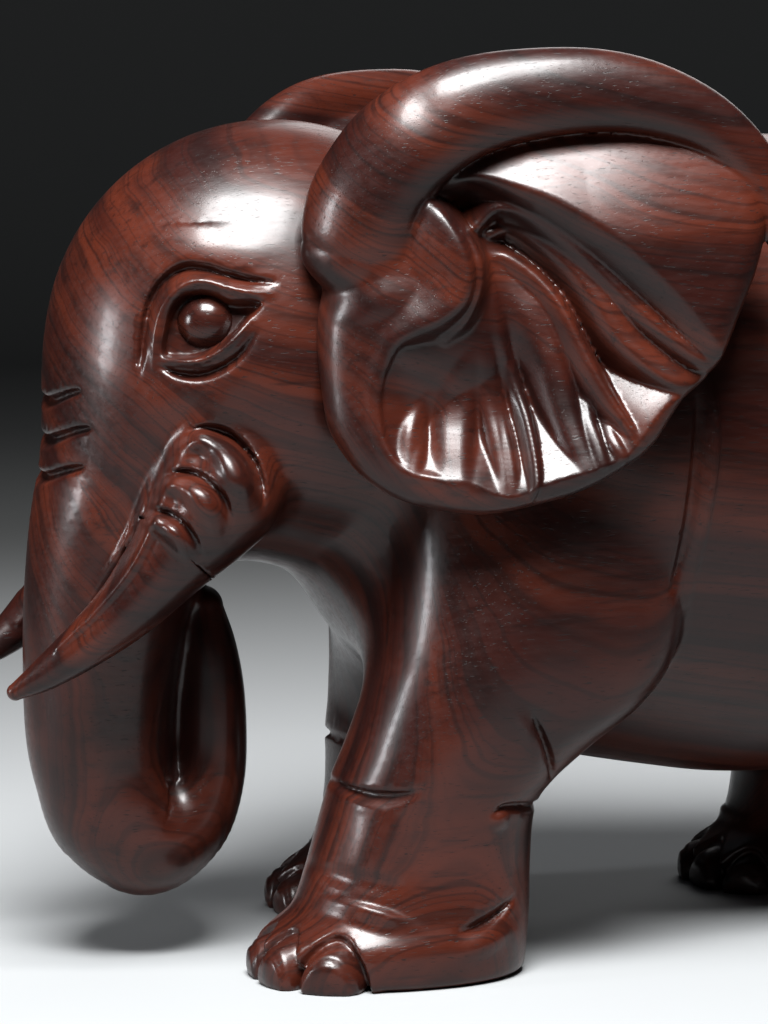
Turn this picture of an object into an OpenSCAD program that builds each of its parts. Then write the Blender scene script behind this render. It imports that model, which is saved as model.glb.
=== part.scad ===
// Carved wooden elephant, walking, with its trunk curled up under its chin.
// It faces -Y, its own left side is +X, and its four soles stand on Z = 0.

/* [Body] */
// Height of the back above the floor
back_h = 148; // [140:1:152]
// Height of the belly above the floor
belly_h = 32; // [28:1:36]
// Half the width of the barrel at its widest
barrel_half_w = 48; // [44:1:50]
// Y of the rearmost point of the rump
rump_y = 110.5; // [104:0.5:112]

/* [Head] */
// Radius of the round head seen from the side
head_r = 41.5; // [38:0.5:44]
// Half the width of the head
head_half_w = 33; // [29:1:36]
// Y of the middle of the head
head_y = -63; // [-66:1:-60]
// Height of the middle of the head
head_z = 108.5; // [105:0.5:112]

/* [Legs] */
// X of the middle of each leg
leg_x = 28; // [26:1:30]
// Y of the left front heel, the leg that steps forward
front_left_heel_y = -26; // [-32:1:-22]
// How far the right front leg stands behind the left one
front_stagger = 17; // [8:1:20]
// Y of the right hind heel, the leg that steps forward
hind_right_heel_y = 80; // [74:1:82]
// How far the left hind leg stands behind the right one
hind_stagger = 18; // [8:1:22]

/* [Ears] */
// X of the ear's rim where it leaves the head
ear_front_x = 43; // [41:1:46]
// X of the ear's rim at the back, where it stands off the body
ear_rear_x = 56; // [52:1:57]
// Depth of the bowl inside the ear
ear_bowl = 6; // [3:1:8]
// Thickness of the ear at its rim
ear_edge = 4.5; // [3:0.5:6]
// Height of the fan folds inside the ear
ear_fold = 1.6; // [0:0.2:2.4]

/* [Let-in pieces] */
// Radius of the eye bead
eye_r = 5; // [4:0.5:6]
// Radius of the tenon on each tusk
tusk_tenon_r = 3; // [2:0.5:4]
// Length of the tenon on each tusk
tusk_tenon_l = 10; // [6:1:14]
// Radius of the dowels that hold an ear
dowel_r = 2; // [1.5:0.5:3]
// Length of the dowels that hold an ear
dowel_l = 16; // [12:1:20]
// Radius of the tenon on the tail
tail_tenon_r = 2.5; // [2:0.5:3]
// Gap round every tenon, shank and dowel
glue_gap = 0.05; // [0.02:0.01:0.1]

/* [Hidden] */

wood = [0.25, 0.09, 0.06];
dark_wood = [0.16, 0.06, 0.045];
pale_wood = [0.55, 0.36, 0.2];

// Points round each ring of a loft, and rings in each step between two stations
ring_n = 32;
leg_ring_n = 24;
step_n = 2;

LEFT = 1;
RIGHT = -1;

// Barrel stations from chest to rump: Y, middle height, half width, half height
barrel_mid = (back_h + belly_h) / 2;
barrel_half_h = (back_h - belly_h) / 2;
BARREL = [
    [-54, 96, 14, 20],
    [-50, 97, 25, 31],
    [-42, 96, 34, 42],
    [-28, 94, 42, 50],
    [-8, barrel_mid + 1, barrel_half_w - 2, barrel_half_h - 2],
    [16, barrel_mid, barrel_half_w, barrel_half_h],
    [44, barrel_mid - 1, barrel_half_w, barrel_half_h - 1],
    [70, barrel_mid - 2, barrel_half_w - 3, barrel_half_h - 5],
    [90, barrel_mid - 4, barrel_half_w - 11, barrel_half_h - 15],
    [103, barrel_mid - 6, barrel_half_w - 23, barrel_half_h - 29],
    [rump_y - 1.5, barrel_mid - 8, barrel_half_w - 35, barrel_half_h - 43],
    [rump_y, barrel_mid - 8, 4, 5]];

// Trunk stations from the face down, round the bend and up to the tip:
// Y, Z, half width, half depth
TRUNK = [
    [-72, 104, 28, 26],
    [-82, 94, 24, 21],
    [-90, 82, 19, 17.5],
    [-94.5, 68, 15.5, 14.5],
    [-96.5, 52, 13.5, 12.8],
    [-96.5, 38, 12.5, 12],
    [-93.5, 27, 11.8, 11],
    [-87, 20.5, 11, 9.6],
    [-80, 23.5, 10.2, 8.2],
    [-76.8, 33, 9.6, 7.2],
    [-76, 46, 9.2, 6.6],
    [-76.2, 58, 8.8, 6.2],
    [-76.4, 65, 7.6, 5.2],
    [-76.5, 68, 4, 2.6]];

// Front leg stations: Z, Y of the front and of the back less the heel's Y, X out, half width
FRONT_LEG = [
    [0, -47, -1, 0, 16.5],
    [2, -49, 0, 0, 17.5],
    [7, -48, 0.5, 0, 17.5],
    [12, -41, 1.5, -1, 16.5],
    [20, -38, 2, -1.5, 15.5],
    [32, -34, 2.3, -1, 16.5],
    [40, -31, 9, 0, 17.5],
    [52, -28.5, 19, 1, 18],
    [66, -26, 23, 1.5, 18],
    [84, -21, 23.5, 0, 18],
    [100, -15, 19, -4, 16],
    [112, -6, 10, -8, 10]];

// Hind leg stations in the same form
HIND_LEG = [
    [0, -47, -1, 0, 16.5],
    [2, -49, 0, 0, 17.5],
    [7, -48, 0.5, 0, 17.5],
    [12, -41, 1, -0.5, 16.5],
    [20, -38.5, 0.5, -0.5, 15.5],
    [32, -39, 1.5, 0, 16.5],
    [45, -43, 4, 1, 18],
    [60, -46, 6.5, 1.5, 18.5],
    [80, -44, 6, -2, 17],
    [98, -36, 0, -7, 14],
    [108, -28, -8, -10, 9]];

// Tusk stations: X out, Y, Z, radius
TUSK = [
    [25.5, -78.5, 86, 8.4],
    [25, -87.5, 78, 7.6],
    [24, -96, 69, 6.4],
    [22.5, -104.5, 60.5, 5],
    [21, -111, 54.5, 3.5],
    [20, -115.4, 51.4, 1.8],
    [19.8, -116.6, 50.8, 0.7]];

// Outline of the left ear seen from the side: Y, Z, and the point its rings close on
EAR_OUTLINE = [
    [-65, 128],
    [-68.5, 114],
    [-66.5, 100],
    [-57, 86],
    [-40, 80],
    [-22, 84.5],
    [-6, 95],
    [7, 107],
    [14, 121],
    [15, 135],
    [8, 147],
    [-12, 154],
    [-36, 155],
    [-54, 148]];
EAR_MIDDLE = [-32, 120];
// Rolled top of the ear: Y, Z, X out from the front of the rim, radius
EAR_ROLL = [
    [-64.5, 124, -5.5, 6.4],
    [-62.5, 135, -4, 7.8],
    [-56, 145.5, -1, 8.8],
    [-43, 152, 2, 8.2],
    [-27, 153.8, 5, 6.9],
    [-13, 153, 7.5, 5.6],
    [0, 149.5, 9.8, 4.4],
    [9, 143.5, 11.5, 3.6],
    [13.5, 135.5, 12.5, 3]];

// Corners of the root that joins the ear to the head: X out, Y, Z, radius of the corner
EAR_ROOT = [
    [26, -52, 130, 8],
    [26, -50, 102, 8],
    [35, -57, 128, 5],
    [35, -56, 100, 5],
    [36, -34, 104, 5],
    [36, -36, 130, 5]];

// Tail stations: Y, Z, radius
TAIL = [
    [106, 104, 4.4],
    [110.5, 97, 4],
    [113, 86, 3.5],
    [113.6, 72, 3.2],
    [112.4, 60, 3.4],
    [111.4, 50, 4.4],
    [111, 42, 3.8],
    [111, 36, 1.4]];

eye_place = [25.7, -81.8, 115.1];
eye_axis_turn = 62;
eye_shank_r = 1.2;
eye_shank_l = 7;
DOWEL_SPOTS = [[-50, 131], [-44, 103]];
dowel_mid_x = 32;
tusk_tenon_root = 11;
tusk_tenon_way = [-12, 15.5, 12] / norm([-12, 15.5, 12]);
tail_tenon_l = 12;
hind_left_heel_y = hind_right_heel_y + hind_stagger;
front_right_heel_y = front_left_heel_y + front_stagger;

// Value between two stations of a table, on a smooth curve through all of them
function station(table, i) = table[max(0, min(len(table) - 1, i))];
function curve(a, b, c, d, u) =
    0.5 * (2 * b + (c - a) * u + (2 * a - 5 * b + 4 * c - d) * u * u + (3 * b - a - 3 * c + d) * u * u * u);
function between(table, t) =
    let (i = min(floor(t), len(table) - 2))
    curve(station(table, i - 1), station(table, i), station(table, i + 1), station(table, i + 2), t - i);
function fine(table, steps = step_n) =
    [for (k = [0 : steps * (len(table) - 1)]) between(table, k / steps)];

// A closed solid through rings of points, all with the same number of points
module skin(rings) {
    n = len(rings[0]);
    m = len(rings);
    side = [for (i = [0 : m - 2], j = [0 : n - 1])
        each [[i * n + j, (i + 1) * n + (j + 1) % n, i * n + (j + 1) % n],
            [i * n + j, (i + 1) * n + j, (i + 1) * n + (j + 1) % n]]];
    first_cap = [for (j = [0 : n - 1]) j];
    last_cap = [for (j = [n - 1 : -1 : 0]) (m - 1) * n + j];
    polyhedron([for (r = rings) each r], concat([first_cap], side, [last_cap]));
}

// A tube along points of a curve in three dimensions, each with its radius
module tube(path, n = 20) {
    m = len(path);
    p = [for (s = path) [s[0], s[1], s[2]]];
    rings = [for (i = [0 : m - 1])
        let (d = p[min(m - 1, i + 1)] - p[max(0, i - 1)],
            along_v = d / norm(d),
            side_v = cross(along_v, [1, 0, 0.001]),
            u = side_v / norm(side_v),
            v = cross(along_v, u))
        [for (k = [0 : n - 1]) p[i] + path[i][3] * (cos(360 * k / n) * u + sin(360 * k / n) * v)]];
    skin(rings);
}

module barrel() {
    skin([for (s = fine(BARREL))
        [for (k = [0 : ring_n - 1])
            let (a = -360 * k / ring_n)
            [s[2] * cos(a), s[0], s[1] + s[3] * sin(a)]]]);
}

module head() {
    translate([0, head_y, head_z])
        scale([head_half_w / head_r, 1, 1])
            sphere(head_r, $fn = 44);
}

// The trunk bends only in the middle plane, so its rings are ellipses across the curve
module trunk() {
    path = fine(TRUNK);
    m = len(path);
    skin([for (i = [0 : m - 1])
        let (d = path[min(m - 1, i + 1)] - path[max(0, i - 1)],
            l = norm([d[0], d[1]]),
            out = [0, d[1] / l, -d[0] / l])
        [for (k = [0 : leg_ring_n - 1])
            let (a = 360 * k / leg_ring_n)
            [path[i][2] * cos(a), path[i][0], path[i][1]] + path[i][3] * sin(a) * out]]);
}

module leg(table, side, heel_y) {
    skin([for (s = fine(table))
        let (half_l = (s[2] - s[1]) / 2, mid_y = heel_y + (s[1] + s[2]) / 2)
        [for (k = [0 : leg_ring_n - 1])
            let (a = 360 * k / leg_ring_n)
            [side * leg_x + s[3] * side + s[4] * cos(a), mid_y + half_l * sin(a), max(0, s[0])]]]);
    for (turn = [-34, 0, 34])
        toenail(side * leg_x, heel_y - 25, turn);
}

// Three nails fan out round the front of each foot
module toenail(foot_x, foot_y, turn) {
    nail_r = 4.6;
    reach = 19.5;
    translate([foot_x, foot_y, 0])
        rotate([0, 0, turn])
            intersection() {
                hull() {
                    translate([0, -reach, nail_r - 1])
                        sphere(nail_r, $fn = 16);
                    translate([0, -reach + 6, nail_r + 2.5])
                        sphere(nail_r, $fn = 16);
                }
                translate([0, -reach, 10])
                    cube([20, 30, 20], center = true);
            }
}

module body_form() {
    barrel();
    head();
    trunk();
    leg(FRONT_LEG, LEFT, front_left_heel_y);
    leg(FRONT_LEG, RIGHT, front_right_heel_y);
    leg(HIND_LEG, LEFT, hind_left_heel_y);
    leg(HIND_LEG, RIGHT, hind_right_heel_y);
}

// A round rod between two points, on either side of the middle plane
module rod(from, to, r, side, sides = 32) {
    d = [side * (to[0] - from[0]), to[1] - from[1], to[2] - from[2]];
    translate([side * from[0], from[1], from[2]])
        rotate([0, acos(d[2] / norm(d)), atan2(d[1], d[0])])
            cylinder(r = r, h = norm(d), $fn = sides);
}

module at_eye(side) {
    translate([side * eye_place[0], eye_place[1], eye_place[2]])
        rotate([0, 0, -side * (90 - eye_axis_turn)])
            rotate([0, side * 90, 0])
                children();
}

module at_dowels(side) {
    for (spot = DOWEL_SPOTS)
        translate([side * dowel_mid_x, spot[0], spot[1]])
            rotate([0, 90, 0])
                children();
}

module tusk_tenon(side, gap) {
    start = [TUSK[1][0], TUSK[1][1], TUSK[1][2]];
    end = start + (tusk_tenon_l + tusk_tenon_root + gap) * tusk_tenon_way;
    rod(start, end, tusk_tenon_r + gap, side);
}

module eye_form(side, gap) {
    at_eye(side) {
        sphere(eye_r + gap, $fn = 28);
        translate([0, 0, -eye_r - eye_shank_l - gap])
            cylinder(r = eye_shank_r + gap, h = eye_r + eye_shank_l, $fn = 24);
    }
}

module tail_tenon(gap) {
    translate([0, TAIL[1][0], TAIL[1][1]])
        rotate([90, 0, 0])
            cylinder(r = tail_tenon_r + gap, h = tail_tenon_l + gap, $fn = 32);
}

module sockets() {
    for (side = [LEFT, RIGHT]) {
        tusk_tenon(side, glue_gap);
        eye_form(side, glue_gap);
        at_dowels(side)
            cylinder(r = dowel_r + glue_gap, h = dowel_l + 2 * glue_gap, center = true, $fn = 32);
    }
    tail_tenon(glue_gap);
}

// Rim height of the ear above the middle plane at a given Y
function ear_rim_x(y) = ear_front_x + (ear_rear_x - ear_front_x) * (y + 68) / 83;
function ear_point(t, s) =
    let (n = len(EAR_OUTLINE), i = floor(t),
        p = curve(EAR_OUTLINE[(i + n - 1) % n], EAR_OUTLINE[i % n], EAR_OUTLINE[(i + 1) % n],
            EAR_OUTLINE[(i + 2) % n], t - i))
    EAR_MIDDLE + s * (p - EAR_MIDDLE);

// The bowl with its fan folds: rings from the middle of the front out to the rim and back behind
module ear_bowl_form(side) {
    turns = 48;
    fold_count = 8;
    n = len(EAR_OUTLINE);
    front = [0.04, 0.2, 0.4, 0.6, 0.78, 0.92];
    back = [0.97, 0.85, 0.6, 0.3, 0.04];
    function fold(t, s) = 4 * ear_fold * s * (1 - s) * s * cos(360 * fold_count * t / n);
    rings = concat(
        [for (s = front) [for (k = [0 : turns - 1])
            let (t = n * k / turns, p = ear_point(t, s))
            [side * (ear_rim_x(p[0]) - ear_bowl * (1 - s * s) + fold(t, s)), p[0], p[1]]]],
        [[for (k = [0 : turns - 1])
            let (p = ear_point(n * k / turns, 1))
            [side * (ear_rim_x(p[0]) - ear_edge / 2), p[0], p[1]]]],
        [for (s = back) [for (k = [0 : turns - 1])
            let (p = ear_point(n * k / turns, s))
            [side * (ear_rim_x(p[0]) - ear_edge - ear_bowl * (1 - s * s)), p[0], p[1]]]]);
    skin(side > 0 ? [for (r = rings) [for (k = [turns - 1 : -1 : 0]) r[k]]] : rings);
}

module ear_roll(side) {
    path = [for (s = fine(EAR_ROLL)) [side * (ear_front_x + s[2]), s[0], s[1], s[3]]];
    tube(path, 18);
    for (end = [path[0], path[len(path) - 1]])
        translate([end[0], end[1], end[2]])
            sphere(end[3], $fn = 18);
}

// The thick root that joins the ear's plate to the side of the head and neck
module ear_root(side) {
    hull()
        for (s = EAR_ROOT)
            translate([side * s[0], s[1], s[2]])
                sphere(s[3], $fn = 20);
}

module ear(side) {
    color(wood)
        difference() {
            union() {
                ear_bowl_form(side);
                ear_roll(side);
                ear_root(side);
            }
            body_form();
            at_dowels(side)
                cylinder(r = dowel_r + glue_gap, h = dowel_l + 2 * glue_gap, center = true, $fn = 32);
        }
}

module tusk(side) {
    color(wood) {
        difference() {
            tube([for (s = fine(TUSK)) [side * s[0], s[1], s[2], s[3]]], 24);
            body_form();
        }
        tusk_tenon(side, 0);
    }
}

module body_block() {
    color(wood)
        difference() {
            body_form();
            sockets();
        }
}

module ear_left() {
    ear(LEFT);
}

module ear_right() {
    ear(RIGHT);
}

module ear_dowels(side) {
    color(pale_wood)
        at_dowels(side)
            cylinder(r = dowel_r, h = dowel_l, center = true, $fn = 32);
}

module ear_dowels_left() {
    ear_dowels(LEFT);
}

module ear_dowels_right() {
    ear_dowels(RIGHT);
}

module tusk_left() {
    tusk(LEFT);
}

module tusk_right() {
    tusk(RIGHT);
}

module eye_left() {
    color(dark_wood)
        eye_form(LEFT, 0);
}

module eye_right() {
    color(dark_wood)
        eye_form(RIGHT, 0);
}

module tail() {
    color(wood) {
        difference() {
            tube([for (s = fine(TAIL)) [0, s[0], s[1], s[2]]], 20);
            body_form();
        }
        tail_tenon(0);
    }
}

body_block();
ear_left();
ear_right();
ear_dowels_left();
ear_dowels_right();
tusk_left();
tusk_right();
eye_left();
eye_right();
tail();
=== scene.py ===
import math

import bpy
import numpy as np
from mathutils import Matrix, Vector


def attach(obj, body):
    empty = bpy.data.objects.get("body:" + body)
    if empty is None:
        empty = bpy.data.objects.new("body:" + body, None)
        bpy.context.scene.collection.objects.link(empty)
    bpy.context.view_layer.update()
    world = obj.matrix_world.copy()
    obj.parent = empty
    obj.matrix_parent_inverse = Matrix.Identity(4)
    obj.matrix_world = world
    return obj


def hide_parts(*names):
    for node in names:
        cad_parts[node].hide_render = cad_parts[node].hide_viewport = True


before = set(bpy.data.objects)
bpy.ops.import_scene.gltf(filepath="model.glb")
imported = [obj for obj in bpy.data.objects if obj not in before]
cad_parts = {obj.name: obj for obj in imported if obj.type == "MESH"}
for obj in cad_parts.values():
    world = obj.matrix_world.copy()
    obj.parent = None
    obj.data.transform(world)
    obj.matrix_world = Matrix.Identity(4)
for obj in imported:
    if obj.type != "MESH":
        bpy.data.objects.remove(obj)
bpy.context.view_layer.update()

# ---- units and detail levels
# The sculpting is done in millimetres in the frame's own axes: the elephant faces -Y, and +X is
# its left.
MM = 0.001
BODY_VOXEL, EAR_VOXEL, SMALL_VOXEL = ((0.62, 0.42, 0.3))
MAX_TRIANGLES = 195000
LEFT, RIGHT = 1.0, -1.0
# Carved detail reaches this far from the base form's surface
RELIEF_REACH = 4.0
# How blunt the sharpest carved crest is
CREST_ROUND = 0.4
# How many points are worked out at once
CHUNK = 60000
# Stands for any distance past the surface's own blocks
FAR = 9.0


# ---- curves
def curve_span(a, b, c, d, u):
    """The smooth curve's points from b to c, whose neighbours are a and d."""
    return 0.5 * (2 * b + (c - a) * u + (2 * a - 5 * b + 4 * c - d) * u ** 2
                  + (3 * b - a - 3 * c + d) * u ** 3)


def spline(rows, steps=10, closed=False):
    """A smooth curve through the rows, each a point with any further values to carry along it."""
    p = np.asarray(rows, float)
    if closed:
        q = np.vstack([p[-1:], p, p[:2]])
    else:
        q = np.vstack([2 * p[0] - p[1], p, 2 * p[-1] - p[-2]])
    u = np.linspace(0.0, 1.0, steps, endpoint=False)[:, None]
    spans = [curve_span(*q[i - 1:i + 3], u) for i in range(1, len(q) - 2)]
    return np.vstack(spans + [q[-2:-1]])


def lookup(table, at):
    """The table's other columns, at places along its first one."""
    return [np.interp(at, table[:, 0], column) for column in table.T[1:]]


def step01(t):
    """0 below 0, 1 above 1, and smooth between."""
    t = np.clip(t, 0.0, 1.0)
    return t * t * (3 - 2 * t)


# ---- solids as distance fields
def smin(a, b, k):
    """Union with a fillet about k wide."""
    h = np.maximum(k - np.abs(a - b), 0.0) / k
    return np.minimum(a, b) - h * h * k * 0.25


def smax(a, b, k):
    """Intersection with an edge rounded about k wide."""
    return -smin(-a, -b, k)


def ellipsoid(p, centre, radii):
    """About the distance to an ellipsoid."""
    radii = np.asarray(radii, float)
    q = (p - centre) / radii
    k0 = np.sqrt((q * q).sum(1))
    k1 = np.sqrt(((q / radii) ** 2).sum(1))
    return k0 * (k0 - 1) / np.maximum(k1, 1e-6)


def oval(u, v, ru, rv, power):
    """Distance from a rounded-square oval in its own plane, along the ray from its middle."""
    f = (np.abs(u / ru) ** power + np.abs(v / rv) ** power) ** (1.0 / power)
    r = np.hypot(u, v)
    radial = r * (1 - 1 / np.maximum(f, 1e-4))
    slant = np.hypot(u * (rv / ru) ** 2, v)
    tilt = (np.abs(u) * rv ** 2 / ru ** 2 + np.abs(v)) / np.maximum(slant, 1e-6)
    return radial / np.clip(tilt, 1.0, 1.4)


def nearest_on_path(p, path):
    """For each point: the distance to a path, the values carried there, and the path's direction."""
    dim = p.shape[1]
    best = np.full(len(p), 1e18)
    seg_i = np.zeros(len(p), np.int32)
    seg_t = np.zeros(len(p))
    columns = [np.ascontiguousarray(p[:, i]) for i in range(dim)]
    for i in range(len(path) - 1):
        a = path[i, :dim]
        ab = path[i + 1, :dim] - a
        ap = [column - a[j] for j, column in enumerate(columns)]
        t = sum(part * ab[j] for j, part in enumerate(ap)) / max(ab @ ab, 1e-12)
        np.clip(t, 0.0, 1.0, out=t)
        d2 = sum((part - t * ab[j]) ** 2 for j, part in enumerate(ap))
        closer = d2 < best
        best[closer] = d2[closer]
        seg_i[closer] = i
        seg_t[closer] = t[closer]
    row = path[seg_i] * (1 - seg_t)[:, None] + path[seg_i + 1] * seg_t[:, None]
    along = path[seg_i + 1, :dim] - path[seg_i, :dim]
    along /= np.maximum(np.linalg.norm(along, axis=1), 1e-9)[:, None]
    return np.sqrt(best), row, along


def cone_path(p, path):
    """A round tube along a path whose fourth value is its radius."""
    dist, row, _ = nearest_on_path(p, path)
    return dist - row[:, 3]


def only_near(field, p, low, high, away=30.0):
    """A distance field worked out inside a box; outside it is only known to be far."""
    d = np.full(len(p), away)
    near = np.nonzero(((p > low) & (p < high)).all(1))[0]
    if len(near):
        d[near] = field(p[near])
    return d


class Relief:
    """A height map over a rectangle of a plane, into which strokes and bumps are carved."""

    def __init__(self, low, high, step=0.25):
        self.low = np.asarray(low, float)
        self.step = step
        self.shape = tuple(int(math.ceil((h - l) / step)) + 1 for l, h in zip(low, high))
        a = self.low[0] + step * np.arange(self.shape[0])
        b = self.low[1] + step * np.arange(self.shape[1])
        self.a, self.b = np.meshgrid(a, b, indexing="ij")
        self.height = np.zeros(self.shape)

    def window(self, path, reach):
        """The part of the map within reach of a path, and the points in it."""
        first = np.floor((path[:, :2].min(0) - reach - self.low) / self.step).astype(int)
        last = np.ceil((path[:, :2].max(0) + reach - self.low) / self.step).astype(int) + 1
        win = tuple(slice(max(f, 0), max(l, 0)) for f, l in zip(first, last))
        return win, np.stack([self.a[win].ravel(), self.b[win].ravel()], 1)

    def line(self, rows, reach):
        """A window of the map; there the distance to a smooth line, what it carries, and the side."""
        path = spline(rows, 6)
        win, points = self.window(path, reach)
        shape = self.a[win].shape
        dist, row, along = nearest_on_path(points, path)
        off = points - row[:, :2]
        side = along[:, 0] * off[:, 1] - along[:, 1] * off[:, 0]
        return win, dist.reshape(shape), row.reshape(shape + (-1,)), side.reshape(shape)

    def stroke(self, rows, left=1.0, right=1.0):
        """Adds a soft ridge, or a groove where the height is negative.
        Rows: a, b, height, half width."""
        reach = max(row[3] for row in rows) * max(left, right)
        win, dist, row, side = self.line(rows, reach)
        width = row[..., 3] * np.where(side > 0, left, right)
        self.height[win] += row[..., 2] * step01(1 - dist / np.maximum(width, 1e-3))

    def crest(self, rows, drop=4.0, power=2.0, left=1.0, right=1.0, k=1.0, over=None):
        """Raises the map to a ridge that falls by drop at its half width. Tops are heights over
        another map where one is given. Rows: a, b, top, half width."""
        reach = 2.5 * max(row[3] for row in rows) * max(left, right)
        win, dist, row, side = self.line(rows, reach)
        width = row[..., 3] * np.where(side > 0, left, right)
        away = np.sqrt(dist ** 2 + CREST_ROUND ** 2) - CREST_ROUND
        base = 0.0 if over is None else over[win]
        top = base + row[..., 2] - drop * np.minimum(away / np.maximum(width, 1e-3), 3.0) ** power
        self.height[win] = smax(self.height[win], top, k)

    def region(self, rows):
        """Distance to a smooth closed outline, below 0 inside it."""
        ring = spline(rows, 6, closed=True)
        points = np.stack([self.a.ravel(), self.b.ravel()], 1)
        dist, _, _ = nearest_on_path(points, ring)
        inside = np.zeros(len(points), bool)
        for (a0, b0), (a1, b1) in zip(ring[:-1, :2], ring[1:, :2]):
            spans = (b0 > points[:, 1]) != (b1 > points[:, 1])
            if abs(b1 - b0) > 1e-9:
                at = a0 + (points[:, 1] - b0) * (a1 - a0) / (b1 - b0)
                inside ^= spans & (points[:, 0] < at)
        return np.where(inside, -dist, dist).reshape(self.shape)

    def bump(self, centre, radii, height, turn=0.0):
        """Adds a soft oval swelling, or a dent."""
        a, b = self.a - centre[0], self.b - centre[1]
        c, s = math.cos(math.radians(turn)), math.sin(math.radians(turn))
        q = ((a * c + b * s) / radii[0]) ** 2 + ((b * c - a * s) / radii[1]) ** 2
        self.height += height * np.clip(1 - q, 0.0, 1.0) ** 1.5

    def at(self, a, b, outside=0.0):
        """The map's value at any places."""
        i = (a - self.low[0]) / self.step
        j = (b - self.low[1]) / self.step
        within = (i >= 0) & (j >= 0) & (i < self.shape[0] - 1) & (j < self.shape[1] - 1)
        i = np.clip(i, 0, self.shape[0] - 1.001)
        j = np.clip(j, 0, self.shape[1] - 1.001)
        i0, j0 = i.astype(int), j.astype(int)
        u, v = i - i0, j - j0
        h = self.height
        value = ((h[i0, j0] * (1 - u) + h[i0 + 1, j0] * u) * (1 - v)
                 + (h[i0, j0 + 1] * (1 - u) + h[i0 + 1, j0 + 1] * u) * v)
        return np.where(within, value, outside)


# ---- from distance field to mesh
def in_chunks(field, points):
    return np.concatenate([field(points[i:i + CHUNK]) for i in range(0, len(points), CHUNK)])


def double(grid, axis):
    """Twice as fine along an axis, by halfway values."""
    grid = np.moveaxis(grid, axis, 0)
    fine = np.empty((2 * len(grid) - 1,) + grid.shape[1:], np.float32)
    fine[::2] = grid
    fine[1::2] = (grid[1:] + grid[:-1]) / 2
    return np.moveaxis(fine, 0, axis)


def corner_values(grid, shape):
    """The grid's values at each of the eight corners of every cell."""
    for i, j, k in np.ndindex(2, 2, 2):
        yield grid[i:shape[0] + i, j:shape[1] + j, k:shape[2] + k]


def sample(base, relief, low, high, voxel, block=4):
    """Base form less relief on a fine grid, worked out only near the base form's surface."""
    low = np.asarray(low, float)
    step = 2 * voxel
    big = step * block
    blocks = np.ceil((np.asarray(high, float) - low) / big).astype(int)
    axes = [low[i] + big * np.arange(blocks[i] + 1) for i in range(3)]
    nodes = np.stack(np.meshgrid(*axes, indexing="ij"), -1)
    rough = in_chunks(base, nodes.reshape(-1, 3)).reshape(nodes.shape[:3])
    near = np.full(tuple(blocks), 1e9)
    inside = np.zeros(tuple(blocks), bool)
    for corner in corner_values(rough, blocks):
        near = np.minimum(near, np.abs(corner))
        inside |= corner < 0
    for axis in range(3):
        inside = np.repeat(inside, block, axis)
    grid = np.where(inside, -FAR, FAR).astype(np.float32)
    picked = np.argwhere(near < big + 1.0)
    offset = np.argwhere(np.ones((block, block, block)))
    cell = (picked[:, None] * block + offset).reshape(-1, 3)
    grid[tuple(cell.T)] = in_chunks(base, low + step * cell)
    for axis in range(3):
        grid = double(grid, axis)
    if relief is not None:
        cell = np.argwhere(np.abs(grid) < RELIEF_REACH)
        d = grid[tuple(cell.T)].astype(float)
        points = low + voxel * cell
        for i in range(0, len(cell), CHUNK):
            part = slice(i, i + CHUNK)
            d[part] = relief(points[part], d[part])
        grid[tuple(cell.T)] = d
    return grid, low


def surface(grid, low, voxel):
    """Surface nets: a vertex in each cell that the surface crosses, a quad across each such edge."""
    solid = grid < 0
    count = np.zeros(tuple(s - 1 for s in grid.shape), np.uint8)
    for corner in corner_values(solid, count.shape):
        count += corner
    cells = np.argwhere((count > 0) & (count < 8))
    ids = np.full(count.shape, -1, np.int32)
    ids[tuple(cells.T)] = np.arange(len(cells))
    total = np.zeros((len(cells), 3))
    crossings = np.zeros(len(cells))
    for axis in range(3):
        for edge in np.ndindex(2, 2):
            first = np.insert(edge, axis, 0)
            second = np.insert(edge, axis, 1)
            fa = grid[tuple((cells + first).T)].astype(float)
            fb = grid[tuple((cells + second).T)].astype(float)
            cross = (fa < 0) != (fb < 0)
            t = np.where(cross, fa / np.where(cross, fa - fb, 1.0), 0.0)
            place = first + t[:, None] * (second - first)
            total[cross] += place[cross]
            crossings += cross
    verts = low + voxel * (cells + total / crossings[:, None])
    quads = []
    for axis in range(3):
        ahead = [slice(1, -1)] * 3
        ahead[axis] = slice(1, None)
        behind = [slice(1, -1)] * 3
        behind[axis] = slice(0, -1)
        change = solid[tuple(behind)] != solid[tuple(ahead)]
        corner = np.argwhere(change)
        low_solid = solid[tuple(behind)][change]
        quad = np.stack([ids[tuple((corner + np.insert(step, axis, 0)).T)]
                         for step in ((0, 0), (1, 0), (1, 1), (0, 1))], 1)
        flip = low_solid if axis == 1 else ~low_solid
        quad[flip] = quad[flip][:, ::-1]
        quads.append(quad)
    return verts, np.vstack(quads)


def settle(field, verts, rounds=3, eps=0.05, most=0.8):
    """Moves the vertices onto the true surface, along the slope where each one starts."""
    d = in_chunks(field, verts)
    slope = np.stack([in_chunks(field, verts + eps * axis) - d for axis in np.eye(3)], 1) / eps
    way = -slope / np.maximum((slope * slope).sum(1), 0.3)[:, None]
    for i in range(rounds):
        move = way * d[:, None]
        length = np.linalg.norm(move, axis=1)[:, None]
        verts = verts + move * np.minimum(1.0, most / np.maximum(length, 1e-9))
        if i < rounds - 1:
            d = in_chunks(field, verts)
    return verts


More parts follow.
